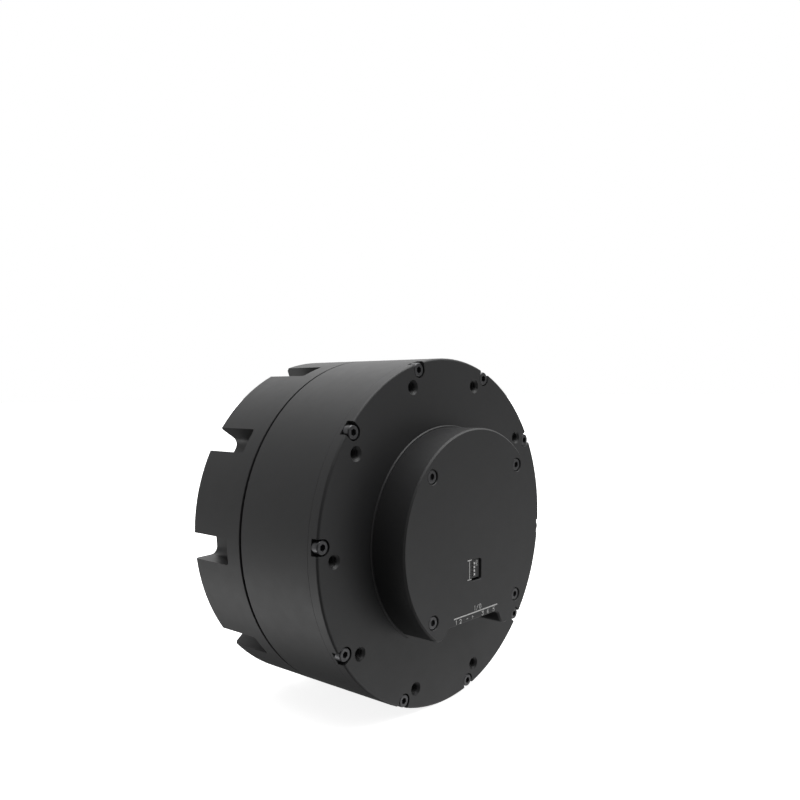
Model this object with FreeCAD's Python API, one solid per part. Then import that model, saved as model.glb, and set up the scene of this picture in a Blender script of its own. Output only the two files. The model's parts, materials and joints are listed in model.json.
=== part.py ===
import FreeCAD, Part
import math
import os

# Robot joint actuator: brushless motor, two-stage planetary reducer and driver
# electronics in one round housing. Millimetres.
# The common axis of everything is Y. +Y points out of the output flange, -Y out
# of the hub cap that covers the electronics, +Z is up. Y = 0 is the front
# mounting face of the gear housing.
# Angles "phi" are turned about Y, from +Z towards +X.

# ---------------------------------------------------------------- driving sizes
R_BODY = 60.0            # outer radius of the drum
Y_FRONT = 0.0            # gear housing's front mounting face
Y_SEAM = -26.1           # motor housing meets gear housing
Y_COVER_IN = -57.5       # rear cover's inner face, on the motor housing
Y_COVER = -61.7          # rear cover's outer face
Y_HUB = -75.3            # hub cap's face

GROOVE_W = 0.9           # dark parting groove in front of the seam
GROOVE_D = 1.0
RIM_CHAMFER = 1.0        # gear housing's front rim

N_RIM = 10               # pockets, tapped holes and cover screws are all tenfold
PHI_HOLE = 18.0          # first rear tapped hole
PHI_POCKET = 16.5        # first pocket; the front taps are halfway between pockets
POCKET_W = 9.0
POCKET_FLOOR = 50.5      # radius of the pocket's floor
POCKET_END = -18.7       # Y of the pocket's end wall
POCKET_CORNER = 2.6
R_HOUSING_SCREW = 55.3   # M4 screws sunk in the pockets' end walls
SCREW_SEAT = -22.9

R_HOLE = 53.2            # rear tapped holes, M4
R_M4_TAP = 1.65
REAR_TAP_DEPTH = 10.0
PHI_SCREW = 22.8         # first cover screw
R_SCREW = 57.7
SLOT_W = 5.2             # U slot round each cover screw
SLOT_DEPTH = 2.7

R_HUB = 37.2             # hub cap
R_HUB_IN = 35.0
HUB_FACE_T = 2.0
HUB_EDGE = 0.5           # bevel round the hub cap's face
HUB_CORNER = 4.0         # rounding where the notch runs out of the cap's side
HUB_LIP_R, HUB_LIP_H = 37.8, 0.5   # low lip on the rear cover round the cap
Y_FOOT = Y_COVER + 0.3   # the cap's foot, in a shallow register in the rear cover
R_HUB_SCREW = 33.0
HUB_CBORE = 1.8          # depth of the hub screws' counterbores
HUB_SCREW_PHIS = [45.0, 135.0, 225.0, 315.0]

R_FRONT_TAP = 54.5       # front tapped holes, M4, between the pockets
FRONT_TAP_DEPTH = 12.0

MODULE = 1.0
Z_SUN, Z_PLANET, Z_RING = 14, 28, 70
R_CARRIER = 21.0         # planet centres
PRESSURE = math.radians(20.0)
FLANK_GAP = 0.05         # each flank stands this much inside its true line

PCB_REAR = -72.0
PCB_FRONT = -70.4

V = FreeCAD.Vector
YAX = V(0, 1, 0)
O = V(0, 0, 0)


# ---------------------------------------------------------------- small helpers
def pos(r, phi, y=0.0):
    a = math.radians(phi)
    return V(r * math.sin(a), y, r * math.cos(a))


def turn(shape, phi):
    s = shape.copy()
    s.rotate(O, YAX, phi)
    return s


def cyl(r, y0, y1, x=0.0, z=0.0):
    return Part.makeCylinder(r, y1 - y0, V(x, y0, z), YAX)


def cyl_at(r, y0, y1, rad, phi):
    p = pos(rad, phi)
    return cyl(r, y0, y1, p.x, p.z)


def box(x0, x1, y0, y1, z0, z1):
    return Part.makeBox(x1 - x0, y1 - y0, z1 - z0, V(x0, y0, z0))


def rev(points, angle=360.0):
    """Solid of revolution about Y from a closed (radius, y) outline."""
    pts = [V(r, y, 0) for r, y in points]
    face = Part.Face(Part.makePolygon(pts + [pts[0]]))
    return face.revolve(O, YAX, angle)


def ring(r0, r1, y0, y1):
    return rev([(r0, y0), (r1, y0), (r1, y1), (r0, y1)])


def prism_xz(points, y0, y1):
    pts = [V(x, y0, z) for x, z in points]
    face = Part.Face(Part.makePolygon(pts + [pts[0]]))
    return face.extrude(V(0, y1 - y0, 0))


def hexagon(af, y0, y1, x, z):
    r = af / math.sqrt(3.0)
    return prism_xz([(x + r * math.sin(math.radians(60 * k)), z + r * math.cos(math.radians(60 * k)))
                     for k in range(6)], y0, y1)


def cap_screw(x, z, y_seat, y_tip, r_shank, r_head, h_head, af, toward=-1, key=0.55, edge=0.25):
    """Socket head cap screw along Y; the head stands on the side `toward` points to."""
    top = y_seat + toward * h_head
    prof = [(0, y_seat), (r_head - 0.1, y_seat), (r_head, y_seat + toward * 0.1)]
    # round shoulder in short flats
    for i in range(6):
        a = math.radians(90.0 * i / 5)
        prof.append((r_head - edge + edge * math.cos(a), top - toward * edge * (1 - math.sin(a))))
    prof.append((0, top))
    s = rev(prof)
    lo, hi = sorted((y_tip, y_seat))
    s = s.fuse(cyl(r_shank, lo, hi))
    k0, k1 = sorted((top, top - toward * h_head * key))
    s = s.cut(hexagon(af, k0 - (0.01 if toward < 0 else 0), k1 + (0.01 if toward > 0 else 0), 0, 0))
    s.translate(V(x, 0, z))
    return s


def fuse_all(items):
    return items[0].multiFuse(items[1:]) if len(items) > 1 else items[0]


def cut_all(base, tools):
    return base.cut(tools)


def edges_at(shape, y, keep):
    out = []
    for e in shape.Edges:
        b = e.BoundBox
        if abs(b.YMin - y) < 1e-6 and abs(b.YMax - y) < 1e-6 and keep(e):
            out.append(e)
    return out


def one(shape):
    """The single solid of a boolean's result, cleaned of split faces."""
    s = shape.removeSplitter()
    return s.Solids[0] if len(s.Solids) == 1 else s


# ---------------------------------------------------------------- gears
def inv(a):
    return math.tan(a) - a


def gear_outline(z, r_root, r_tip, thin, phi0, flank=5):
    """Closed outline, flat-sided, of an involute gear: teeth centred on phi0 + k * 360 / z."""
    rp = MODULE * z / 2.0
    rb = rp * math.cos(PRESSURE)

    def half(r):
        a = math.acos(min(1.0, rb / max(r, rb)))
        return math.pi / (2 * z) + inv(PRESSURE) - inv(a) - thin / rp

    lo = max(r_root, rb)
    radii = [lo + (r_tip - lo) * i / flank for i in range(flank + 1)]
    if r_root < rb - 0.02:
        radii = [r_root] + radii
    pts = []
    for k in range(z):
        c = math.radians(phi0) + 2 * math.pi * k / z
        for r in radii:
            pts.append((r, c - half(r)))
        for r in reversed(radii):
            pts.append((r, c + half(r)))
    return [(r * math.sin(a), r * math.cos(a)) for r, a in pts]


def sun_gear(y0, y1):
    return prism_xz(gear_outline(Z_SUN, 5.75, 7.9, FLANK_GAP, 0.0), y0, y1)


def planet_gear(y0, y1, r_bore):
    g = prism_xz(gear_outline(Z_PLANET, 12.75, 14.9, FLANK_GAP, 180.0 / Z_PLANET), y0, y1)
    return g.cut(cyl(r_bore, y0 - 1, y1 + 1))


def planets(y0, y1, r_bore):
    base = planet_gear(y0, y1, r_bore)
    out = []
    for k in range(3):
        s = base.copy()
        s.translate(pos(R_CARRIER, 120.0 * k))
        out.append(s)
    return out


# ---------------------------------------------------------------- housings
def make_gear_housing():
    g = GROOVE_D
    s = rev([
        (46.0, Y_SEAM), (R_BODY - g, Y_SEAM), (R_BODY - g, Y_SEAM + GROOVE_W),
        (R_BODY - 0.15, Y_SEAM + GROOVE_W), (R_BODY, Y_SEAM + GROOVE_W + 0.15),
        (R_BODY, Y_FRONT - RIM_CHAMFER), (R_BODY - RIM_CHAMFER, Y_FRONT),
        (47.8, Y_FRONT), (47.4, Y_FRONT - 0.4), (47.4, -1.6), (47.0, -1.6), (47.0, -7.6),
        (44.6, -7.6), (44.6, -8.8), (46.0, -8.8)])
    tools = []
    h = POCKET_W / 2
    c = POCKET_CORNER
    for k in range(N_RIM):
        phi = PHI_POCKET + 36.0 * k
        # pocket cross-section, opening outwards, with rounded floor corners
        b = box(-h, h, POCKET_END, 2.0, POCKET_FLOOR, 64.0)
        b = b.makeFillet(c, [e for e in b.Edges if abs(e.BoundBox.ZMax - POCKET_FLOOR) < 1e-6
                             and e.BoundBox.YLength > 5])
        # small end-mill radius where the end wall meets the side walls
        b = b.makeFillet(1.0, [e for e in b.Edges if abs(e.BoundBox.YMax - POCKET_END) < 1e-6
                               and e.BoundBox.ZLength > 5])
        tools.append(turn(b, phi))
        tools.append(cyl_at(2.0, Y_SEAM - 1, POCKET_END + 1, R_HOUSING_SCREW, phi))
        tools.append(cyl_at(3.7, SCREW_SEAT, POCKET_END + 1, R_HOUSING_SCREW, phi))
        hole = cyl_at(R_M4_TAP, -FRONT_TAP_DEPTH, 1.0, R_FRONT_TAP, phi - 18.0)
        p = pos(R_FRONT_TAP, phi - 18.0)
        cs = Part.makeCone(R_M4_TAP, 2.15, 0.5, V(p.x, -0.40, p.z), YAX)
        tools += [hole, cs]
    for k in range(6):
        tools.append(cyl_at(1.5, -18.0, -8.8, 46.0, 60.0 * k))
    return one(cut_all(s, tools))


def make_motor_housing():
    s = rev([
        (50.0, Y_COVER_IN), (R_BODY - 0.05, Y_COVER_IN), (R_BODY, Y_COVER_IN + 0.05),
        (R_BODY, Y_SEAM - 0.2), (R_BODY - 0.2, Y_SEAM), (11.5, Y_SEAM), (11.5, -27.1),
        (13.0, -27.1), (13.0, -32.1), (18.0, -32.1), (20.0, -31.1), (44.0, -31.1), (46.0, -32.1), (50.0, -36.1)])
    tools = []
    for k in range(N_RIM):
        tools.append(cyl_at(2.0, -36.0, Y_SEAM + 1, R_HOUSING_SCREW, PHI_POCKET + 36.0 * k))
        tools.append(cyl_at(R_M4_TAP, Y_COVER_IN - 1, Y_COVER + REAR_TAP_DEPTH, R_HOLE, PHI_HOLE + 36.0 * k))
        tools.append(cyl_at(1.25, Y_COVER_IN - 1, -50.0, R_SCREW, PHI_SCREW + 36.0 * k))
    return one(cut_all(s, tools))


# connector notch at the foot of the hub cap, and the wall round it
NOTCH = [(-24.95, -38.0), (-15.2, -27.2), (12.0, -27.2), (17.5, -38.0)]
NOTCH_WALL = [(-27.1, -38.0), (-15.91, -25.6), (12.98, -25.6), (19.3, -38.0)]
DIP_WINDOW = (-3.1, 2.2, -13.6, -6.4)


def cut_notch(s, r):
    """Takes the connector notch out of the cap's outline of radius r, corners rounded."""
    notch = prism_xz(NOTCH, Y_HUB - 2, Y_COVER + 1)
    notch = notch.makeFillet(2.5, [e for e in notch.Edges
                                   if e.BoundBox.YLength > 5 and abs(e.BoundBox.ZMin + 27.2) < 1e-6])
    s = one(s.cut(notch))
    return s.makeFillet(HUB_CORNER, [e for e in s.Edges if e.BoundBox.YLength > 0.5 and e.BoundBox.XLength < 1e-6
                                     and abs(math.hypot(e.BoundBox.XMin, e.BoundBox.ZMin) - r) < 0.01
                                     and e.BoundBox.ZMin < -25 and abs(e.BoundBox.XMin) > 5])


def hub_outline(r, y0, y1):
    return cut_notch(cyl(r, y0, y1), r)


def make_rear_cover():
    # outer edge rounded, hub bearing seat and locating spigot inside
    edge = [(R_BODY, Y_COVER + 0.8)]
    for i in range(1, 6):
        a = math.radians(90.0 * i / 6)
        edge.append((R_BODY - 0.8 + 0.8 * math.cos(a), Y_COVER + 0.8 - 0.8 * math.sin(a)))
    edge.append((R_BODY - 0.8, Y_COVER))
    s = rev([(11.5, -55.4), (11.5, -56.5), (13.0, -56.5), (13.0, Y_COVER)] + edge[::-1]
            + [(R_BODY, Y_COVER_IN - 0.05), (R_BODY - 0.05, Y_COVER_IN), (50.0, Y_COVER_IN), (49.9, -56.9), (47.0, -56.9),
               (47.0, Y_COVER_IN), (18.0, Y_COVER_IN), (17.0, -55.4)])
    adds = []
    for sx in (-1, 1):
        for sz in (-1, 1):
            adds.append(cyl(2.6, PCB_FRONT, Y_FOOT, 28.2 * sx, 10.3 * sz))
    lip = rev([(R_HUB + 0.02, Y_COVER + 0.2), (R_HUB + 0.02, Y_COVER - HUB_LIP_H), (HUB_LIP_R - 0.3, Y_COVER - HUB_LIP_H),
               (HUB_LIP_R, Y_COVER - HUB_LIP_H + 0.3), (HUB_LIP_R, Y_COVER + 0.2)])
    adds.append(lip.cut(prism_xz([(-20.6, -60.0), (-20.6, -30.0), (17.2, -30.0), (17.2, -60.0)], Y_COVER - 2, Y_COVER + 1)))
    s = s.multiFuse(adds)
    # shallow register for the cap's foot, the standoffs left standing in it
    register = hub_outline(R_HUB + 0.02, Y_COVER - 0.5, Y_FOOT)
    tools = [register.cut(cyl(2.6, Y_COVER - 1, Y_COVER + 1, 28.2, 10.3)).cut(cyl(2.6, Y_COVER - 1, Y_COVER + 1, 28.2, -10.3))
             .cut(cyl(2.6, Y_COVER - 1, Y_COVER + 1, -28.2, 10.3)).cut(cyl(2.6, Y_COVER - 1, Y_COVER + 1, -28.2, -10.3))]
    for sx in (-1, 1):
        for sz in (-1, 1):
            tools.append(cyl(1.0, PCB_FRONT - 1, -64.0, 28.2 * sx, 10.3 * sz))
    for phi in HUB_SCREW_PHIS:
        tools.append(cyl_at(1.25, Y_COVER - 1, -58.7, R_HUB_SCREW, phi))
    for phi in (0.0, 120.0, 240.0):
        tools.append(cyl_at(1.6, Y_COVER - 1, Y_COVER_IN + 1, 30.0, phi))
    for k in range(N_RIM):
        phi = PHI_HOLE + 36.0 * k
        p = pos(R_HOLE, phi)
        tools.append(cyl_at(R_M4_TAP, Y_COVER - 1, Y_COVER_IN + 1, R_HOLE, phi))
        tools.append(Part.makeCone(2.5, R_M4_TAP, 0.85, V(p.x, Y_COVER - 0.1, p.z), YAX))
        phi = PHI_SCREW + 36.0 * k
        slot = box(-SLOT_W / 2, SLOT_W / 2, Y_COVER - 1, Y_COVER + SLOT_DEPTH, R_SCREW, 66.0)
        slot = slot.fuse(cyl(SLOT_W / 2, Y_COVER - 1, Y_COVER + SLOT_DEPTH, 0, R_SCREW))
        tools.append(turn(slot.removeSplitter(), phi))
        tools.append(cyl_at(1.25, Y_COVER, Y_COVER_IN + 1, R_SCREW, phi))
    return one(cut_all(s, tools))


def make_hub_cap():
    s = rev([(0, Y_HUB), (R_HUB, Y_HUB), (R_HUB, Y_FOOT), (R_HUB_IN, Y_FOOT),
             (R_HUB_IN, Y_HUB + HUB_FACE_T), (0, Y_HUB + HUB_FACE_T)])
    inside = cyl(R_HUB_IN + 0.6, Y_HUB + 0.5, Y_FOOT)
    adds = [prism_xz(NOTCH_WALL, Y_HUB + 0.5, Y_FOOT).common(inside)]
    for phi in HUB_SCREW_PHIS:
        adds.append(cyl_at(3.5, Y_HUB + 0.5, Y_FOOT, R_HUB_SCREW, phi).common(inside))
    s = s.multiFuse(adds)
    x0, x1, z0, z1 = DIP_WINDOW
    win = box(x0, x1, Y_HUB - 1, Y_HUB + HUB_FACE_T + 1, z0, z1)
    win = win.makeFillet(0.8, [e for e in win.Edges if e.BoundBox.YLength > 3])
    s = cut_notch(s, R_HUB)
    # bevel right round the face's outline, the notch included
    s = s.makeChamfer(HUB_EDGE, edges_at(s, Y_HUB, lambda e: True))
    tools = [win, box(-13.6, 10.8, -70.7, -63.6, -28.0, -25.0)]
    for phi in HUB_SCREW_PHIS:
        tools.append(cyl_at(1.35, Y_HUB - 1, Y_COVER + 1, R_HUB_SCREW, phi))
        tools.append(cyl_at(2.4, Y_HUB - 1, Y_HUB + HUB_CBORE, R_HUB_SCREW, phi))
        p = pos(R_HUB_SCREW, phi)
        tools.append(Part.makeCone(2.65, 2.4, 0.25, V(p.x, Y_HUB - 0.05, p.z), YAX))
    s = one(cut_all(s, tools))
    s = s.makeChamfer(0.2, edges_at(s, Y_HUB, lambda e: e.BoundBox.XMin > -3.2 and e.BoundBox.XMax < 2.3
                                    and e.BoundBox.ZMin > -13.7 and e.BoundBox.ZMax < -6.3))
    return s.Solids[0] if len(s.Solids) == 1 else s


# ---------------------------------------------------------------- fasteners
def make_cover_screws():
    return [cap_screw(pos(R_SCREW, PHI_SCREW + 36.0 * k).x, pos(R_SCREW, PHI_SCREW + 36.0 * k).z,
                      Y_COVER + SLOT_DEPTH, -51.0, 1.25, 2.25, 2.5, 2.0, edge=0.4) for k in range(N_RIM)]


def make_hub_screws():
    return [cap_screw(pos(R_HUB_SCREW, f).x, pos(R_HUB_SCREW, f).z,
                      Y_HUB + HUB_CBORE, -58.9, 1.25, 2.25, 1.5, 2.0, edge=0.4) for f in HUB_SCREW_PHIS]


def make_housing_screws():
    out = []
    for k in range(N_RIM):
        p = pos(R_HOUSING_SCREW, PHI_POCKET + 36.0 * k)
        out.append(cap_screw(p.x, p.z, SCREW_SEAT, -34.9, 2.0, 3.5, 4.0, 3.0, toward=1))
    return out


# ---------------------------------------------------------------- motor
ST_Y0, ST_Y1 = -52.5, -37.5
N_SLOT, N_MAG = 36, 42


def make_stator_core():
    s = ring(33.2, 50.0, ST_Y0, ST_Y1)
    half = math.pi / N_SLOT
    tools = []

    def edge(d, side):
        # a point on the tooth's side, d out along the tooth, in the frame of the slot's centre line
        r, t = math.hypot(d, 1.6), math.atan2(1.6, d)
        a = side * (half - t)
        return (r * math.sin(a), r * math.cos(a))

    base = prism_xz([edge(34.4, -1), edge(45.2, -1), edge(45.2, 1), edge(34.4, 1)], ST_Y0 - 1, ST_Y1 + 1)
    mouth = box(-0.9, 0.9, ST_Y0 - 1, ST_Y1 + 1, 32.0, 35.0)
    slot = base.fuse(mouth).removeSplitter()
    for k in range(N_SLOT):
        tools.append(turn(slot, 360.0 / N_SLOT * (k + 0.5)))
    return one(cut_all(s, tools))


def make_stator_coils():
    yc = (ST_Y0 + ST_Y1) / 2
    a = box(-2.9, 2.9, yc - 10.3, yc + 10.3, 35.2, 44.8)
    a = a.makeFillet(1.4, [e for e in a.Edges if e.BoundBox.ZLength > 5])
    b = box(-1.7, 1.7, yc - 7.6, yc + 7.6, 34.0, 46.0)
    b = b.makeFillet(0.3, [e for e in b.Edges if e.BoundBox.ZLength > 5])
    c = a.cut(b)
    return [turn(c, 360.0 / N_SLOT * k) for k in range(N_SLOT)]


def make_phase_leads():
    # from the coil's end turn inwards, then straight back through the rear cover to the board
    out = []
    y, rr, bend = -54.4, 30.0, 2.5
    p0, p1 = V(0, y, 35.2), V(0, y, rr + bend)
    p2 = V(0, y - bend, rr)
    mid = V(0, y - bend * (1 - math.cos(math.radians(45))), rr + bend * (1 - math.sin(math.radians(45))))
    p3 = V(0, PCB_FRONT, rr)
    path = Part.Wire([Part.LineSegment(p0, p1).toShape(), Part.Arc(p1, mid, p2).toShape(),
                      Part.LineSegment(p2, p3).toShape()])
    prof = Part.Wire([Part.makeCircle(0.9, p0, V(0, 0, -1))])
    lead = path.makePipeShell([prof], True, False)
    for f in (0.0, 120.0, 240.0):
        out.append(turn(lead.Solids[0] if lead.Solids else lead, f))
    return out


def make_rotor_shaft():
    s = rev([
        (3.2, -66.6), (8.0, -66.6), (8.0, -61.6), (8.5, -61.6), (8.5, -56.4), (10.5, -56.4), (10.5, -48.0),
        (12.5, -48.0), (12.5, -46.0), (9.5, -46.0), (9.5, -32.3), (8.5, -32.3), (8.5, -27.0), (8.0, -26.6),
        (6.2, -26.6), (6.2, -25.1), (3.2, -25.1)])
    sun = sun_gear(-25.1, -19.0).cut(cyl(3.2, -30, -10))
    return one(s.fuse(sun))


def make_rotor_spider():
    s = rev([(9.5, -46.0), (14.0, -46.0), (14.0, -45.5), (24.5, -45.5), (24.5, ST_Y0), (26.5, ST_Y0),
             (26.5, ST_Y1), (24.5, ST_Y1), (24.5, -43.5), (14.0, -43.5), (14.0, -41.0), (9.5, -41.0)])
    return one(cut_all(s, [cyl_at(3.6, -50, -40, 19.2, 60.0 * k + 30) for k in range(6)]))


def make_rotor_back_iron():
    return ring(26.5, 30.2, ST_Y0, ST_Y1)


def make_rotor_magnets():
    face = rev([(30.2, ST_Y0 + 0.2), (32.4, ST_Y0 + 0.2), (32.4, ST_Y1 - 0.2), (30.2, ST_Y1 - 0.2)], 7.6)
    return [turn(face, 360.0 / N_MAG * k) for k in range(N_MAG)]


# ---------------------------------------------------------------- ball bearings, 17 x 26 x 5
B_IN, B_OUT, B_W, B_PITCH, B_BALL, N_BALL = 8.5, 13.0, 5.0, 10.75, 1.5, 13


def bearing(y0):
    y1, yc = y0 + B_W, y0 + B_W / 2
    groove = Part.makeTorus(B_PITCH, B_BALL + 0.03, V(0, yc, 0), YAX)
    inner = rev([(B_IN, y0 + 0.2), (B_IN + 0.2, y0), (9.8, y0), (9.8, y1), (B_IN + 0.2, y1), (B_IN, y1 - 0.2)]).cut(groove)
    outer = rev([(11.7, y0), (B_OUT - 0.2, y0), (B_OUT, y0 + 0.2), (B_OUT, y1 - 0.2), (B_OUT - 0.2, y1), (11.7, y1)]).cut(groove)
    cage = ring(10.2, 11.3, yc - 2.1, yc + 2.1)
    holes, balls = [], []
    for k in range(N_BALL):
        f = 360.0 / N_BALL * k
        p = pos(B_PITCH, f)
        d = pos(1.0, f)
        holes.append(Part.makeCylinder(B_BALL + 0.08, 4.0, V(p.x - 2 * d.x, yc, p.z - 2 * d.z), d))
        balls.append(Part.makeSphere(B_BALL, V(p.x, yc, p.z)))
    return inner, outer, balls, cage.cut(holes)


# ---------------------------------------------------------------- reducer
def make_ring_gear():
    y0, y1 = -25.7, -8.8
    blank = cyl(46.0, y0, y1)
    hole = prism_xz(gear_outline(Z_RING, 34.0, 36.3, -FLANK_GAP, 180.0 / Z_RING), y0 - 1, y1 + 1)
    s = blank.cut(hole)
    # plain relief between the two stages, and dowel half-holes
    s = s.cut(ring(30.0, 36.6, -18.9, -15.5))
    return one(s.cut([cyl_at(1.5, -18.0, -8.8, 46.0, 60.0 * k) for k in range(6)]))


def make_ring_gear_dowels():
    return [cyl_at(1.5, -18.0, -8.8, 46.0, 60.0 * k) for k in range(6)]


def make_stage1_carrier():
    s = rev([(3.0, -18.7), (28.0, -18.7), (28.5, -18.2), (28.5, -16.2), (28.0, -15.7), (3.0, -15.7)])
    sun = sun_gear(-15.9, -8.9).cut(cyl(3.0, -20, -5))
    s = s.fuse(sun)
    tools = [cyl_at(2.5, -20, -14, R_CARRIER, 120.0 * k) for k in range(3)]
    tools += [cyl_at(5.5, -20, -14, 18.5, 120.0 * k + 60) for k in range(3)]
    return one(cut_all(s, tools))


def make_stage1_pins():
    return [cyl_at(2.5, -25.5, -15.9, R_CARRIER, 120.0 * k) for k in range(3)]


def make_output_carrier():
    s = rev([(2.0, -8.5), (39.5, -8.5), (39.5, -7.6), (38.0, -7.6), (38.0, -5.0), (2.0, -5.0)])
    tools = [cyl_at(3.0, -10, -4, R_CARRIER, 120.0 * k) for k in range(3)]
    tools += [cyl_at(1.5, -10, -4, 34.0, 60.0 * k + 30) for k in range(6)]
    return one(cut_all(s, tools))


def make_stage2_pins():
    return [cyl_at(3.0, -15.4, -5.0, R_CARRIER, 120.0 * k) for k in range(3)]


def make_output_flange():
    s = rev([(0, -5.0), (38.0, -5.0), (38.0, -1.6), (39.5, -1.6), (39.5, 0.5), (39.0, 1.0), (15.3, 1.0),
             (15.0, 0.7), (15.0, -2.0), (0, -2.0)])
    tools = []
    for k in range(8):
        p = pos(28.0, 45.0 * k)
        tools += [cyl_at(2.1, -6, 2, 28.0, 45.0 * k), Part.makeCone(2.1, 2.75, 0.65, V(p.x, 0.45, p.z), YAX)]
    for k in range(6):
        f = 60.0 * k + 30
        p = pos(34.0, f)
        tools += [cyl_at(1.5, -6, 2, 34.0, f), Part.makeCone(1.5, 3.15, 1.65, V(p.x, -0.65, p.z), YAX),
                  cyl_at(3.15, 0.99, 2, 34.0, f)]
    return one(cut_all(s, tools))


def make_flange_screws():
    out = []
    for k in range(6):
        f = 60.0 * k + 30
        p = pos(34.0, f)
        s = rev([(0, -8.2), (1.5, -8.2), (1.5, -0.65), (2.95, 0.8), (2.95, 0.95), (0, 0.95)])
        s = s.cut(hexagon(2.0, -0.5, 1.2, 0, 0))
        s.translate(V(p.x, 0, p.z))
        out.append(s)
    return out


# crossed roller bearing
M_PITCH, M_YC, M_ROLL, N_ROLL = 42.4, -4.6, 1.5, 76


def v_groove():
    d = (M_ROLL + 0.03) * math.sqrt(2)
    return rev([(M_PITCH - d, M_YC), (M_PITCH, M_YC - d), (M_PITCH + d, M_YC), (M_PITCH, M_YC + d)])


def make_main_bearing():
    inner = rev([(38.0, -7.3), (38.3, -7.6), (41.7, -7.6), (41.7, -1.6), (38.3, -1.6), (38.0, -1.9)]).cut(v_groove())
    outer = rev([(43.1, -7.6), (46.7, -7.6), (47.0, -7.3), (47.0, -1.9), (46.7, -1.6), (43.1, -1.6)]).cut(v_groove())
    rollers = []
    for k in range(N_ROLL):
        f = 360.0 / N_ROLL * k
        p = pos(M_PITCH, f, M_YC)
        rad = pos(1.0, f)
        d = (rad + (YAX if k % 2 else -YAX)) * (1 / math.sqrt(2))
        rollers.append(Part.makeCylinder(M_ROLL, 2.8, p - d * 1.4, d))
    return inner, outer, rollers


def make_lock_ring():
    s = rev([(43.2, -1.6), (47.4, -1.6), (47.4, -0.3), (47.1, 0.0), (43.5, 0.0), (43.2, -0.3)])
    # spanner slots
    return one(cut_all(s, [turn(box(-1.6, 1.6, -0.8, 1.0, 45.6, 49.0), 60.0 * k) for k in range(6)]))


def make_output_seal():
    # dust seal pressed in the lock ring, its lip close round the flange
    return rev([(41.0, -1.3), (43.2, -1.3), (43.2, -0.4), (42.9, -0.15), (40.4, -0.15), (39.6, -0.45), (39.6, -0.75),
                (40.4, -0.75), (41.0, -1.0)])


# ---------------------------------------------------------------- driver electronics
def make_driver_board():
    s = cyl(34.3, PCB_REAR, PCB_FRONT)
    tools = [box(-40, 40, PCB_REAR - 1, PCB_FRONT + 1, -40, -25.2)]
    for phi in HUB_SCREW_PHIS:
        tools.append(cyl_at(3.9, PCB_REAR - 1, PCB_FRONT + 1, R_HUB_SCREW, phi))
    for sx in (-1, 1):
        for sz in (-1, 1):
            tools.append(cyl(1.1, PCB_REAR - 1, PCB_FRONT + 1, 28.2 * sx, 10.3 * sz))
    return one(cut_all(s, tools))


def make_board_screws():
    return [cap_screw(28.2 * sx, 10.3 * sz, PCB_REAR, -65.0, 1.0, 1.8, 1.0, 1.3)
            for sx in (-1, 1) for sz in (-1, 1)]


def make_board_chips():
    out = []
    # encoder chip on the axis, rotor sensor beside it, controller, gate driver and six power switches
    out.append(box(-2.0, 2.0, PCB_FRONT, PCB_FRONT + 1.0, -2.0, 2.0))
    out.append(box(4.9, 8.3, PCB_FRONT, PCB_FRONT + 1.0, -1.8, 1.8))
    out.append(box(-13.0, -6.0, PCB_FRONT, PCB_FRONT + 1.1, 6.0, 13.0))
    out.append(box(7.5, 12.5, PCB_FRONT, PCB_FRONT + 1.0, 7.0, 12.0))
    for k in range(6):
        s = box(-2.5, 2.5, PCB_FRONT, PCB_FRONT + 1.0, 20.0, 26.0)
        out.append(turn(s, -62.5 + 25.0 * k))
    return out


def make_board_capacitors():
    out = []
    for x, z in ((-20.0, -11.0), (-12.4, -9.0), (16.4, -15.5), (21.0, -8.0)):
        s = rev([(0, PCB_FRONT), (3.1, PCB_FRONT), (3.1, PCB_FRONT + 5.6), (2.9, PCB_FRONT + 5.8), (0, PCB_FRONT + 5.8)])
        s.translate(V(x, 0, z))
        out.append(s)
    return out


DIP = (-2.85, 1.9, -12.84, -6.64)
DIP_TOP = Y_HUB + 0.6
LEVER_Z = [-7.835, -9.105, -10.375, -11.645]
SLOT_X = (-2.3, -0.75)


def make_dip_body():
    x0, x1, z0, z1 = DIP
    s = box(x0, x1, DIP_TOP, PCB_REAR, z0, z1)
    tools = [box(SLOT_X[0], SLOT_X[1], DIP_TOP - 1, DIP_TOP + 1.2, z - 0.40, z + 0.40) for z in LEVER_Z]
    return one(cut_all(s, tools))


def make_dip_levers():
    # at rest each lever is at the +X end of its slot; it slides 0.75 mm to the other end
    return [box(-1.5, -0.8, DIP_TOP - 0.25, DIP_TOP + 1.1, z - 0.34, z + 0.34) for z in LEVER_Z]


PIN_BIG = (-6.4, -2.0)
PIN_SMALL = (-11.5, -9.3)
PIN_SIG = (3.86, 6.4, 8.94)


def make_power_connector():
    s = box(-13.2, 0.7, PCB_FRONT, -64.2, -27.0, -16.0)
    s = s.cut(box(-12.1, -0.4, PCB_FRONT + 1.2, -65.4, -28.0, -19.0))
    pins = []
    for x in PIN_BIG:
        s = s.cut(Part.makeCylinder(1.0, 6.0, V(x, -67.3, -19.5), V(0, 0, 1)))
        pins.append(Part.makeCylinder(1.0, 9.0, V(x, -67.3, -25.2), V(0, 0, 1)))
    for x in PIN_SMALL:
        s = s.cut(Part.makeCylinder(0.4, 6.0, V(x, -67.3, -19.5), V(0, 0, 1)))
        pins.append(Part.makeCylinder(0.4, 9.0, V(x, -67.3, -25.2), V(0, 0, 1)))
    return one(s), pins


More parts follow.
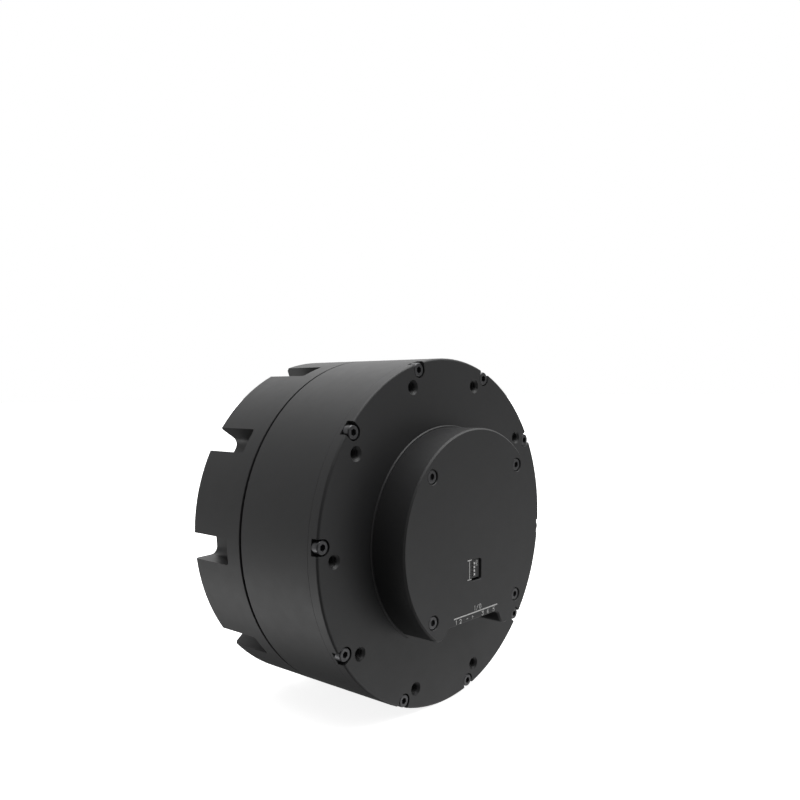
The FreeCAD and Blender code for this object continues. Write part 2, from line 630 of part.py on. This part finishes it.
def make_signal_connector():
    s = box(2.2, 10.5, PCB_FRONT, -66.0, -27.0, -20.0)
    s = s.cut(box(3.0, 9.7, PCB_FRONT + 0.8, -66.8, -28.0, -22.0))
    pins = []
    for x in PIN_SIG:
        s = s.cut(Part.makeCylinder(0.25, 4.0, V(x, -68.2, -22.5), V(0, 0, 1)))
        pins.append(Part.makeCylinder(0.25, 5.5, V(x, -68.2, -26.2), V(0, 0, 1)))
    return one(s), pins


# ---------------------------------------------------------------- all nodes
def build():
    nodes = {}
    nodes["gear_housing"] = make_gear_housing()
    nodes["motor_housing"] = make_motor_housing()
    nodes["rear_cover"] = make_rear_cover()
    nodes["hub_cap"] = make_hub_cap()
    nodes["cover_screws"] = make_cover_screws()
    nodes["hub_screws"] = make_hub_screws()
    nodes["housing_screws"] = make_housing_screws()

    nodes["stator_core"] = make_stator_core()
    nodes["stator_coils"] = make_stator_coils()
    nodes["phase_leads"] = make_phase_leads()
    nodes["rotor_shaft"] = make_rotor_shaft()
    nodes["rotor_spider"] = make_rotor_spider()
    nodes["rotor_back_iron"] = make_rotor_back_iron()
    nodes["rotor_magnets"] = make_rotor_magnets()
    nodes["encoder_ring_magnet"] = ring(5.0, 8.0, -68.2, -66.6)

    for name, y0 in (("rear_bearing", -61.5), ("front_bearing", -32.1)):
        inner, outer, balls, cage = bearing(y0)
        nodes[name + "_inner"] = inner
        nodes[name + "_outer"] = outer
        nodes[name + "_balls"] = balls
        nodes[name + "_cage"] = cage

    nodes["ring_gear"] = make_ring_gear()
    nodes["ring_gear_dowels"] = make_ring_gear_dowels()
    nodes["stage1_carrier"] = make_stage1_carrier()
    nodes["stage1_pins"] = make_stage1_pins()
    for k, s in enumerate(planets(-25.1, -19.1, 2.54)):
        nodes["stage1_planet_%d" % (k + 1)] = s
    nodes["output_carrier"] = make_output_carrier()
    nodes["stage2_pins"] = make_stage2_pins()
    for k, s in enumerate(planets(-15.2, -9.0, 3.04)):
        nodes["stage2_planet_%d" % (k + 1)] = s
    nodes["output_flange"] = make_output_flange()
    nodes["flange_screws"] = make_flange_screws()
    inner, outer, rollers = make_main_bearing()
    nodes["main_bearing_inner"] = inner
    nodes["main_bearing_outer"] = outer
    nodes["main_bearing_rollers"] = rollers
    nodes["bearing_lock_ring"] = make_lock_ring()
    nodes["output_seal"] = make_output_seal()
    nodes["encoder_rod"] = cyl(2.0, -66.9, -5.0)
    nodes["encoder_rod_magnet"] = cyl(3.0, -68.6, -66.9)

    nodes["driver_board"] = make_driver_board()
    nodes["board_chips"] = make_board_chips()
    nodes["board_capacitors"] = make_board_capacitors()
    nodes["board_screws"] = make_board_screws()
    nodes["dip_switch_body"] = make_dip_body()
    for k, s in enumerate(make_dip_levers()):
        nodes["dip_lever_%d" % (k + 1)] = s
    body, pins = make_power_connector()
    nodes["power_connector"] = body
    nodes["power_pins"] = pins
    body, pins = make_signal_connector()
    nodes["signal_connector"] = body
    nodes["signal_pins"] = pins
    return nodes


def main():
    os.makedirs("parts", exist_ok=True)
    nodes = build()
    for name, shape in nodes.items():
        if isinstance(shape, list):
            shape = Part.makeCompound(shape)
        shape.exportStep("parts/%s.step" % name)
        print(name, len(shape.Solids), "solids", round(shape.Volume, 1), "mm3", "valid" if shape.isValid() else "INVALID")
    print(len(nodes), "nodes")


main()
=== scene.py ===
import json
import math

import bmesh
import bpy
from mathutils import Matrix, Vector


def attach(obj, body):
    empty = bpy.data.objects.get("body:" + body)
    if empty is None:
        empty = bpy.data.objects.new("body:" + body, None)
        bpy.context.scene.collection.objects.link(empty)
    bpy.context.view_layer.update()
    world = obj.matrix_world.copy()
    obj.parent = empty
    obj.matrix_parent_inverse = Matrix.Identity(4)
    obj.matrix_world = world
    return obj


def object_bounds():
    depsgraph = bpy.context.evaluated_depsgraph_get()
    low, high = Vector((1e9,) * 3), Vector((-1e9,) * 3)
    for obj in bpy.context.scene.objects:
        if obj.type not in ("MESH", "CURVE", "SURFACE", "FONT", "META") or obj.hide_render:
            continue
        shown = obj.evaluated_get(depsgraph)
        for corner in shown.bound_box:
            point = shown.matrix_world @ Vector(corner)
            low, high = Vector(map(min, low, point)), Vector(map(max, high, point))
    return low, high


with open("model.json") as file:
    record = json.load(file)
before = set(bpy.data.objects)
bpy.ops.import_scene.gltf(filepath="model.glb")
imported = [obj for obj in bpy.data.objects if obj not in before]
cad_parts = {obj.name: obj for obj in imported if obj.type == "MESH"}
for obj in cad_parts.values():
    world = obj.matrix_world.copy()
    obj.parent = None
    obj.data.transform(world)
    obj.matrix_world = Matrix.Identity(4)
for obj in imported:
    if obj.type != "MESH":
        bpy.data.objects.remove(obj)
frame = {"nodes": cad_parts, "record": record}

cad_box = [list(v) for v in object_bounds()]
MM = 0.001
scene = bpy.context.scene
nodes = frame["nodes"]

# ------------------------------------------------------------------ sizes, mm
Y_HUB = -75.3
Y_COVER = -61.7


# ------------------------------------------------------------------ materials
class Mat:
    """Small helper that builds one node material."""

    def __init__(self, name, rough=0.5, metal=0.0, spec=0.5):
        self.m = bpy.data.materials.new(name)
        self.m.use_nodes = True
        self.t = self.m.node_tree
        self.b = self.t.nodes["Principled BSDF"]
        self.b.inputs["Roughness"].default_value = rough
        self.b.inputs["Metallic"].default_value = metal
        self.b.inputs["Specular IOR Level"].default_value = spec
        self.co = self.t.nodes.new("ShaderNodeTexCoord").outputs["Object"]
        self.h = None

    def node(self, kind, **sockets):
        n = self.t.nodes.new(kind)
        for k, v in sockets.items():
            s = n.inputs[k.replace("_", " ")]
            if hasattr(v, "is_linked") or hasattr(v, "links"):
                self.t.links.new(v, s)
            else:
                s.default_value = v
        return n

    def link(self, a, b):
        self.t.links.new(a, b)

    def math(self, op, a, b=None, c=None):
        n = self.t.nodes.new("ShaderNodeMath")
        n.operation = op
        for i, v in enumerate((a, b, c)):
            if v is None:
                continue
            if isinstance(v, (int, float)):
                n.inputs[i].default_value = v
            else:
                self.link(v, n.inputs[i])
        return n.outputs[0]

    def xyz(self):
        n = self.node("ShaderNodeSeparateXYZ", Vector=self.co)
        return n.outputs[0], n.outputs[1], n.outputs[2]

    def noise(self, size_mm, detail=3.0, rough=0.55, stretch=None, lac=2.0):
        v = self.co
        if stretch:
            n = self.t.nodes.new("ShaderNodeMapping")
            n.inputs["Scale"].default_value = stretch
            self.link(self.co, n.inputs["Vector"])
            v = n.outputs["Vector"]
        return self.node("ShaderNodeTexNoise", Vector=v, Scale=1.0 / (size_mm * MM), Detail=detail,
                         Roughness=rough, Lacunarity=lac).outputs["Fac"]

    def ramp(self, fac, stops):
        n = self.t.nodes.new("ShaderNodeValToRGB")
        self.link(fac, n.inputs["Fac"])
        e = n.color_ramp.elements
        while len(e) < len(stops):
            e.new(0.5)
        for el, (p, c) in zip(e, stops):
            el.position = p
            if isinstance(c, (int, float)):
                c = (c, c, c)
            el.color = (*c, 1.0)
        return n.outputs["Color"]

    def mix(self, fac, a, b):
        n = self.t.nodes.new("ShaderNodeMix")
        n.data_type = "RGBA"
        for s, v in ((n.inputs["Factor"], fac), (n.inputs["A"], a), (n.inputs["B"], b)):
            if isinstance(v, (int, float)):
                s.default_value = v
            elif isinstance(v, tuple):
                s.default_value = (*v, 1.0)
            else:
                self.link(v, s)
        return n.outputs["Result"]

    def color(self, c):
        if isinstance(c, tuple):
            self.b.inputs["Base Color"].default_value = (*c, 1.0)
        else:
            self.link(c, self.b.inputs["Base Color"])

    def rough(self, fac, lo, hi):
        n = self.t.nodes.new("ShaderNodeMapRange")
        self.link(fac, n.inputs["Value"])
        n.inputs["To Min"].default_value = lo
        n.inputs["To Max"].default_value = hi
        self.link(n.outputs["Result"], self.b.inputs["Roughness"])

    def bump(self, height, dist_mm, strength=1.0):
        n = self.t.nodes.new("ShaderNodeBump")
        n.inputs["Strength"].default_value = strength
        n.inputs["Distance"].default_value = dist_mm * MM
        self.link(height, n.inputs["Height"])
        if self.h is not None:
            self.link(self.h, n.inputs["Normal"])
        self.h = n.outputs["Normal"]
        self.link(self.h, self.b.inputs["Normal"])


def scaled(c, k):
    return tuple(min(1.0, v * k) for v in c)


def anodised(name, c, rough=0.5, grain=0.16):
    """Bead-blasted black anodised aluminium: even grey-black, fine satin grain."""
    m = Mat(name, rough)
    cloud = m.noise(34.0, 3.0, 0.5)
    fine = m.noise(1.1, 3.0, 0.6)
    both = m.math("ADD", m.math("MULTIPLY", cloud, 0.7), m.math("MULTIPLY", fine, 0.3))
    m.color(m.ramp(both, [(0.3, scaled(c, 0.9)), (0.7, scaled(c, 1.12))]))
    m.rough(m.noise(5.0, 4.0, 0.6), rough - 0.05, rough + 0.05)
    m.bump(m.noise(grain, 2.0, 0.6), 0.006, 0.5)
    return m.m


def black_oxide(name, c, rough=0.33):
    """Turned, blackened screw steel with rubbed spots."""
    m = Mat(name, rough, 0.75)
    m.color(m.ramp(m.noise(1.4, 4.0, 0.6), [(0.3, scaled(c, 0.75)), (0.62, scaled(c, 1.2)), (0.85, scaled(c, 2.0))]))
    m.rough(m.noise(0.5, 3.0), rough - 0.06, rough + 0.1)
    m.bump(m.noise(0.12, 2.0), 0.004, 0.4)
    return m.m


def machined(name, c, rough=0.3, metal=1.0, rings=0.35):
    """Turned metal: fine concentric feed marks about the common axis."""
    m = Mat(name, rough, metal)
    x, y, z = m.xyz()
    r = m.math("SQRT", m.math("ADD", m.math("MULTIPLY", x, x), m.math("MULTIPLY", z, z)))
    w = m.math("SINE", m.math("MULTIPLY", m.math("ADD", r, m.math("MULTIPLY", y, 0.7)), 2 * math.pi / (rings * MM)))
    n = m.noise(6.0, 4.0, 0.6)
    m.color(m.ramp(n, [(0.3, scaled(c, 0.88)), (0.7, scaled(c, 1.06))]))
    m.rough(m.noise(1.6, 4.0), rough - 0.06, rough + 0.08)
    m.bump(w, 0.0015, 0.6)
    m.bump(m.noise(0.3, 3.0), 0.002, 0.3)
    return m.m


def gear_steel(name, c, rough=0.32):
    m = Mat(name, rough, 1.0)
    m.color(m.ramp(m.noise(4.0, 5.0, 0.6), [(0.3, scaled(c, 0.8)), (0.7, scaled(c, 1.1))]))
    m.rough(m.noise(0.9, 4.0), rough - 0.08, rough + 0.1)
    m.bump(m.noise(0.25, 3.0, 0.6, stretch=(1.0, 0.12, 1.0)), 0.004, 0.5)
    return m.m


def lamination(name, c):
    """Stack of thin sheets: fine lines along the axis."""
    m = Mat(name, 0.42, 0.8)
    x, y, z = m.xyz()
    w = m.math("FRACT", m.math("DIVIDE", y, 0.35 * MM))
    w = m.math("PINGPONG", w, 0.5)
    m.color(m.mix(m.math("MULTIPLY", w, 1.6), scaled(c, 0.45), scaled(c, 1.1)))
    m.rough(m.noise(2.0, 3.0), 0.36, 0.5)
    m.bump(w, 0.05, 0.8)
    return m.m


def copper(name, c):
    """Lacquered winding: rows of round wire running along the coil, with painted shade darkening the grooves between
    rows.
    """
    m = Mat(name, 0.28, 0.85)
    m.b.inputs["Coat Weight"].default_value = 0.5
    m.b.inputs["Coat Roughness"].default_value = 0.15
    x, y, z = m.xyz()
    r = m.math("SQRT", m.math("ADD", m.math("MULTIPLY", x, x), m.math("MULTIPLY", z, z)))
    w = m.math("PINGPONG", m.math("DIVIDE", r, 0.45 * MM), 0.5)
    w = m.math("SQRT", w)
    # painted shade: the colour drops to 0.3 of the copper tone in the grooves between wire rows, following the same
    # profile as the bump
    m.color(m.mix(w, scaled(c, 0.3), m.ramp(m.noise(2.5, 3.0), [(0.3, scaled(c, 0.85)), (0.7, scaled(c, 1.1))])))
    m.bump(w, 0.12, 0.9)
    return m.m


def polished(name, c, rough=0.14):
    m = Mat(name, rough, 1.0)
    m.color(m.ramp(m.noise(8.0, 3.0), [(0.3, scaled(c, 0.94)), (0.7, scaled(c, 1.04))]))
    m.rough(m.noise(1.2, 4.0), rough - 0.03, rough + 0.07)
    m.bump(m.noise(0.5, 3.0), 0.001, 0.3)
    return m.m


def plastic(name, c, rough=0.45, grain=0.25, depth=0.006, vary=0.1):
    """Moulded plastic with a fine spark-eroded texture."""
    m = Mat(name, rough)
    m.color(m.ramp(m.noise(3.0, 3.0), [(0.3, scaled(c, 1 - vary)), (0.7, scaled(c, 1 + vary))]))
    m.rough(m.noise(1.0, 3.0), rough - 0.06, rough + 0.07)
    m.bump(m.noise(grain, 2.0, 0.5), depth, 0.5)
    return m.m


def rubber(name, c):
    m = Mat(name, 0.62, 0.0, 0.35)
    m.color(m.ramp(m.noise(2.2, 4.0), [(0.3, scaled(c, 0.85)), (0.72, scaled(c, 1.25))]))
    m.rough(m.noise(0.8, 3.0), 0.55, 0.7)
    m.bump(m.noise(0.3, 3.0), 0.01, 0.5)
    return m.m


def board(name, c):
    """Solder mask over copper tracks."""
    m = Mat(name, 0.3)
    x, y, z = m.xyz()
    cells = m.node("ShaderNodeTexVoronoi", Vector=m.co, Scale=1.0 / (3.2 * MM), Randomness=0.0)
    cells.feature = "DISTANCE_TO_EDGE"
    track = m.math("GREATER_THAN", cells.outputs["Distance"], 0.24)
    m.color(m.mix(m.math("MULTIPLY", track, m.noise(5.0, 2.0)), c, scaled(c, 2.1)))
    m.rough(m.noise(1.5, 3.0), 0.25, 0.4)
    m.bump(track, 0.035, 0.6)
    return m.m


def gold(name, c):
    m = Mat(name, 0.2, 1.0)
    m.color(m.ramp(m.noise(1.0, 3.0), [(0.3, scaled(c, 0.85)), (0.7, scaled(c, 1.1))]))
    m.rough(m.noise(0.6, 3.0), 0.15, 0.3)
    m.bump(m.noise(0.2, 2.0), 0.002, 0.4)
    return m.m


def ink(name, c):
    """White laser-marked or printed ink, a little uneven at its edges."""
    m = Mat(name, 0.55)
    m.color(m.ramp(m.noise(0.25, 3.0, 0.6), [(0.25, scaled(c, 0.72)), (0.6, c)]))
    m.rough(m.noise(0.3, 2.0), 0.48, 0.62)
    m.bump(m.noise(0.1, 2.0), 0.004, 0.4)
    return m.m


BLACK = (0.0215, 0.0217, 0.0225)
mats = {
    "black_anodised": anodised("black_anodised", BLACK, 0.47),
    "flange_anodised": anodised("flange_anodised", scaled(BLACK, 1.2), 0.44),
    "black_oxide_screw": black_oxide("black_oxide_screw", (0.085, 0.085, 0.088), 0.3),
    "lamination": lamination("lamination", (0.3, 0.3, 0.31)),
    "copper_winding": copper("copper_winding", (0.55, 0.19, 0.06)),
    "machined_aluminium": machined("machined_aluminium", (0.66, 0.67, 0.69)),
    "shaft_steel": machined("shaft_steel", (0.42, 0.42, 0.44), 0.24, 1.0, 0.2),
    "gear_steel": gear_steel("gear_steel", (0.36, 0.36, 0.38)),
    "magnet_nickel": polished("magnet_nickel", (0.6, 0.6, 0.6), 0.18),
    "bearing_steel": polished("bearing_steel", (0.62, 0.63, 0.65), 0.12),
    "bearing_cage": plastic("bearing_cage", (0.55, 0.47, 0.28), 0.4),
    "seal_rubber": rubber("seal_rubber", (0.018, 0.018, 0.018)),
    "board_green": board("board_green", (0.012, 0.06, 0.028)),
    "chip_black": plastic("chip_black", (0.02, 0.02, 0.021), 0.4),
    "capacitor_can": machined("capacitor_can", (0.6, 0.6, 0.62), 0.25, 1.0, 0.25),
    "switch_body": plastic("switch_body", (0.016, 0.016, 0.017), 0.38),
    "switch_lever": plastic("switch_lever", (0.78, 0.78, 0.77), 0.35, 0.2, 0.004, 0.03),
    "connector_black": plastic("connector_black", (0.018, 0.018, 0.019), 0.45),
    "contact_gold": gold("contact_gold", (0.72, 0.5, 0.18)),
}
slot_of = {s["node"]: s["material_slot"] for s in frame["record"]["subparts"]}
for name, obj in nodes.items():
    mat = mats[slot_of[name]]
    obj.data.materials.clear()
    obj.data.materials.append(mat)
    for p in obj.data.polygons:
        p.material_index = 0


# ------------------------------------------------------------------ new pieces
def add_mesh(name, bm, mat, body="housing"):
    me = bpy.data.meshes.new(name)
    bmesh.ops.recalc_face_normals(bm, faces=bm.faces)
    bm.to_mesh(me)
    bm.free()
    ob = bpy.data.objects.new(name, me)
    scene.collection.objects.link(ob)
    me.materials.append(mat)
    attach(ob, body)
    return ob


def slab(bm, x0, x1, z0, z1, y=Y_HUB, up=0.03, down=0.02):
    """Thin printed rectangle on a face whose outward normal is -Y."""
    v = [bm.verts.new((x * MM, yy * MM, z * MM)) for yy in (y - up, y + down) for x, z in
         ((x0, z0), (x1, z0), (x1, z1), (x0, z1))]
    for f in ((0, 1, 2, 3), (7, 6, 5, 4), (0, 4, 5, 1), (1, 5, 6, 2), (2, 6, 7, 3), (3, 7, 4, 0)):
        bm.faces.new([v[i] for i in f])


def stroke(bm, pts, w, y=Y_HUB, up=0.03, down=0.02):
    """Mitred flat line of width w through (x, z) points, as one closed thin solid."""
    n = len(pts)
    left, right = [], []
    for i, p in enumerate(pts):
        a = Vector(pts[max(i - 1, 0)])
        b = Vector(p)
        c = Vector(pts[min(i + 1, n - 1)])
        d0 = (b - a).normalized() if i > 0 else (c - b).normalized()
        d1 = (c - b).normalized() if i < n - 1 else d0
        t = (d0 + d1)
        t = t.normalized() if t.length > 1e-6 else d0
        nrm = Vector((-t.y, t.x))
        k = w / 2 / max(0.35, nrm.dot(Vector((-d0.y, d0.x))))
        if i == 0:
            b = b - d0 * w / 2
        if i == n - 1:
            b = b + d1 * w / 2
        left.append(b + nrm * k)
        right.append(b - nrm * k)
    rows = []
    for yy in (y - up, y + down):
        rows.append(([bm.verts.new((p.x * MM, yy * MM, p.y * MM)) for p in left],
                     [bm.verts.new((p.x * MM, yy * MM, p.y * MM)) for p in right]))
    (lt, rt), (lb, rb) = rows
    for i in range(n - 1):
        bm.faces.new((lt[i], lt[i + 1], rt[i + 1], rt[i]))
        bm.faces.new((lb[i], rb[i], rb[i + 1], lb[i + 1]))
        bm.faces.new((lt[i], lb[i], lb[i + 1], lt[i + 1]))
        bm.faces.new((rt[i], rt[i + 1], rb[i + 1], rb[i]))
    bm.faces.new((lt[0], rt[0], rb[0], lb[0]))
    bm.faces.new((lt[-1], lb[-1], rb[-1], rt[-1]))


# single-stroke signs on a 0..1 by 0..1.6 grid
GLYPH = {
    "1": [[(0.15, 1.25), (0.5, 1.6), (0.5, 0.0)]],
    "2": [[(0.0, 1.3), (0.25, 1.6), (0.75, 1.6), (1.0, 1.3), (1.0, 1.0), (0.0, 0.0), (1.0, 0.0)]],
    "3": [[(0.0, 1.6), (1.0, 1.6), (0.45, 0.95), (0.8, 0.9), (1.0, 0.6), (1.0, 0.3), (0.75, 0.0), (0.2, 0.0), (0.0, 0.25)]],
    "4": [[(0.75, 0.0), (0.75, 1.6), (0.0, 0.5), (1.05, 0.5)]],
    "5": [[(0.95, 1.6), (0.1, 1.6), (0.05, 0.9), (0.65, 0.95), (1.0, 0.65), (1.0, 0.3), (0.7, 0.0), (0.0, 0.05)]],
    "6": [[(0.9, 1.6), (0.4, 1.4), (0.05, 0.8), (0.05, 0.3), (0.3, 0.0), (0.75, 0.0), (1.0, 0.3), (1.0, 0.6), (0.7, 0.9), (0.1, 0.75)]],
    "7": [[(0.0, 1.6), (1.0, 1.6), (0.35, 0.0)]],
    "I": [[(0.5, 0.0), (0.5, 1.6)]],
    "O": [[(0.3, 0.0), (0.0, 0.35), (0.0, 1.25), (0.3, 1.6), (0.7, 1.6), (1.0, 1.25), (1.0, 0.35), (0.7, 0.0), (0.3, 0.0)]],
    "/": [[(0.0, 0.0), (1.0, 1.6)]],
    "+": [[(0.5, 0.35), (0.5, 1.25)], [(0.05, 0.8), (0.95, 0.8)]],
    "-": [[(0.05, 0.8), (0.95, 0.8)]],
}


def sign(bm, ch, xc, zc, h, w=0.2):
    k = h / 1.6
    for line in GLYPH[ch]:
        stroke(bm, [(xc + (u - 0.5) * k, zc + (v - 0.8) * k) for u, v in line], w)


ink_mat = ink("marking_white", (0.72, 0.72, 0.71))
bm = bmesh.new()
slab(bm, -12.85, 11.85, -24.82, -24.4)
add_mesh("contact_row_rule", bm, ink_mat)
bm = bmesh.new()
for ch, x in (("1", -11.5), ("2", -9.3), ("-", -5.6), ("+", -2.6), ("3", 3.2), ("4", 6.1), ("5", 9.7)):
    sign(bm, ch, x, -25.95, 1.35)
for ch, x in (("I", -1.3), ("/", 0.1), ("O", 1.7)):
    sign(bm, ch, x, -23.15, 1.5)
add_mesh("contact_row_numbers", bm, ink_mat)
bm = bmesh.new()
slab(bm, -4.48, -4.22, -12.75, -6.4)
slab(bm, -5.4, -3.3, -6.45, -6.1)
slab(bm, -5.4, -3.3, -13.0, -12.72)
add_mesh("switch_bracket_mark", bm, ink_mat)
# ON printed on the switch, reading up the column of levers
bm = bmesh.new()
DIP_TOP = Y_HUB + 0.6
for line in ([(0.05, -7.1), (0.75, -7.1), (0.75, -7.75), (0.05, -7.75), (0.05, -7.1)],
             [(0.75, -8.1), (0.05, -8.1), (0.75, -8.75), (0.05, -8.75)]):
    stroke(bm, line, 0.16, y=DIP_TOP, up=0.02)
add_mesh("switch_on_mark", bm, ink_mat)


def thread(bm, cx, cz, y0, y1, r_wall, r_crest, pitch, segs=20):
    """Helical ridge standing on the wall of a tapped hole along Y, one closed strip."""
    n = int((y1 - y0) / pitch * segs)
    rings = []
    for i in range(n + 1):
        a = 2 * math.pi * i / segs
        yc = y0 + pitch * i / segs
        fade = min(1.0, i / (segs * 0.5), (n - i) / (segs * 0.5))
        rc = r_wall - (r_wall - r_crest) * fade
        s, c = math.sin(a), math.cos(a)
        prof = ((r_wall + 0.05, -0.30 * pitch), (rc, -0.06 * pitch), (rc, 0.06 * pitch), (r_wall + 0.05, 0.30 * pitch))
        rings.append([bm.verts.new(((cx + r * s) * MM, (yc + d) * MM, (cz + r * c) * MM)) for r, d in prof])
    for p, q in zip(rings, rings[1:]):
        for j in range(4):
            bm.faces.new((p[j], p[(j + 1) % 4], q[(j + 1) % 4], q[j]))
    bm.faces.new(rings[0])
    bm.faces.new(rings[-1][::-1])


def polar(r, phi):
    a = math.radians(phi)
    return r * math.sin(a), r * math.cos(a)


bm = bmesh.new()
for k in range(10):
    x, z = polar(53.2, 18.0 + 36.0 * k)
    thread(bm, x, z, Y_COVER + 0.95, Y_COVER + 9.2, 1.65, 1.5, 0.7)
add_mesh("rear_hole_threads", bm, mats["black_anodised"])
bm = bmesh.new()
for k in range(10):
    x, z = polar(54.5, 36.0 * k - 1.5)
    thread(bm, x, z, -11.0, -0.5, 1.65, 1.5, 0.7)
add_mesh("front_hole_threads", bm, mats["black_anodised"])

# ------------------------------------------------------------------ floor, light, camera
lo, hi = cad_box
floor_z = lo[2] - 0.0001
bm = bmesh.new()
R = 6.0
vs = [bm.verts.new((R * math.sin(2 * math.pi * i / 64), R * math.cos(2 * math.pi * i / 64), floor_z)) for i in range(64)]
bm.faces.new(vs[::-1])
me = bpy.data.meshes.new("floor")
bm.to_mesh(me)
bm.free()
floor = bpy.data.objects.new("floor", me)
scene.collection.objects.link(floor)
fm = Mat("floor_pale", 0.9, 0.0, 0.1)
fm.color(fm.ramp(fm.noise(300.0, 2.0), [(0.3, (0.86, 0.86, 0.86)), (0.7, (0.88, 0.88, 0.88))]))
fm.b.inputs["Emission Color"].default_value = (1.0, 1.0, 1.0, 1.0)
fm.b.inputs["Emission Strength"].default_value = 0.85
me.materials.append(fm.m)
# a backdrop only: the photograph shows no white bounce on the object's dark sides
floor.visible_diffuse = False
floor.visible_glossy = False
floor.visible_shadow = False

# soft studio surround: broad glows on a dim base, plain white behind
world = bpy.data.worlds.new("studio")
scene.world = world
world.use_nodes = True
wt = world.node_tree
GLOWS = (  # direction, sharpness, strength
    ((0.58, -0.50, -0.66), 5.0, 1.25),
    ((-0.55, 0.80, 0.10), 4.0, 0.55),
    ((0.54, 0.68, 0.50), 4.0, 1.12),
    ((-0.50, 0.62, -0.60), 18.0, 2.1),
    ((0.30, -0.22, 0.93), 6.0, 3.3),
    ((-0.70, -0.70, -0.05), 4.0, 0.15),
    ((0.95, 0.20, 0.15), 5.0, 0.22),
)
direction = wt.nodes.new("ShaderNodeTexCoord").outputs["Generated"]
level = None
for d, sharp, strength in GLOWS:
    dot = wt.nodes.new("ShaderNodeVectorMath")
    dot.operation = "DOT_PRODUCT"
    wt.links.new(direction, dot.inputs[0])
    dot.inputs[1].default_value = Vector(d).normalized()
    clip = wt.nodes.new("ShaderNodeMath")
    clip.operation = "MAXIMUM"
    wt.links.new(dot.outputs["Value"], clip.inputs[0])
    clip.inputs[1].default_value = 0.0
    power = wt.nodes.new("ShaderNodeMath")
    power.operation = "POWER"
    wt.links.new(clip.outputs[0], power.inputs[0])
    power.inputs[1].default_value = sharp
    add = wt.nodes.new("ShaderNodeMath")
    add.operation = "MULTIPLY_ADD"
    wt.links.new(power.outputs[0], add.inputs[0])
    add.inputs[1].default_value = strength
    if level is None:
        add.inputs[2].default_value = 0.035
    else:
        wt.links.new(level, add.inputs[2])
    level = add.outputs[0]
bg = wt.nodes["Background"]
bg.inputs["Color"].default_value = (1.0, 1.0, 1.0, 1.0)
wt.links.new(level, bg.inputs["Strength"])
seen = wt.nodes.new("ShaderNodeBackground")
seen.inputs["Color"].default_value = (1.0, 1.0, 1.0, 1.0)
seen.inputs["Strength"].default_value = 1.0
path = wt.nodes.new("ShaderNodeLightPath")
pick = wt.nodes.new("ShaderNodeMixShader")
wt.links.new(path.outputs["Is Camera Ray"], pick.inputs[0])
wt.links.new(bg.outputs[0], pick.inputs[1])
wt.links.new(seen.outputs[0], pick.inputs[2])
wt.links.new(pick.outputs[0], wt.nodes["World Output"].inputs["Surface"])


sd = bpy.data.lights.new("overhead", "SUN")
sd.energy = 0.9
sd.angle = math.radians(60)
sun = bpy.data.objects.new("overhead", sd)
scene.collection.objects.link(sun)

# camera, from the photograph's viewing angle
A, E, ROLL = math.radians(-48.533), math.radians(9.187), math.radians(-0.689)
DIST, F_PX, TX, TZ = 4.3467 * 0.06, 811.16, -0.3913 * 0.06, 0.1748 * 0.06
back = Vector((math.sin(A) * math.cos(E), -math.cos(A) * math.cos(E), math.sin(E)))
right = Vector((math.cos(A), math.sin(A), 0.0))
up = back.cross(right)
r2 = right * math.cos(ROLL) + up * math.sin(ROLL)
u2 = up * math.cos(ROLL) - right * math.sin(ROLL)
cd = bpy.data.cameras.new("camera")
cd.sensor_width = 36.0
cd.lens = F_PX / 800.0 * 36.0
cd.shift_y = 114 / 800
cd.clip_start, cd.clip_end = 0.01, 50.0
cam = bpy.data.objects.new("camera", cd)
loc = Vector((TX, Y_COVER * MM, TZ)) + back * DIST
cam.matrix_world = Matrix(((r2.x, u2.x, back.x, loc.x), (r2.y, u2.y, back.y, loc.y), (r2.z, u2.z, back.z, loc.z), (0, 0, 0, 1)))
scene.collection.objects.link(cam)
scene.camera = cam
scene.view_settings.view_transform = "Standard"
scene.view_settings.look = "None"

bpy.context.view_layer.update()
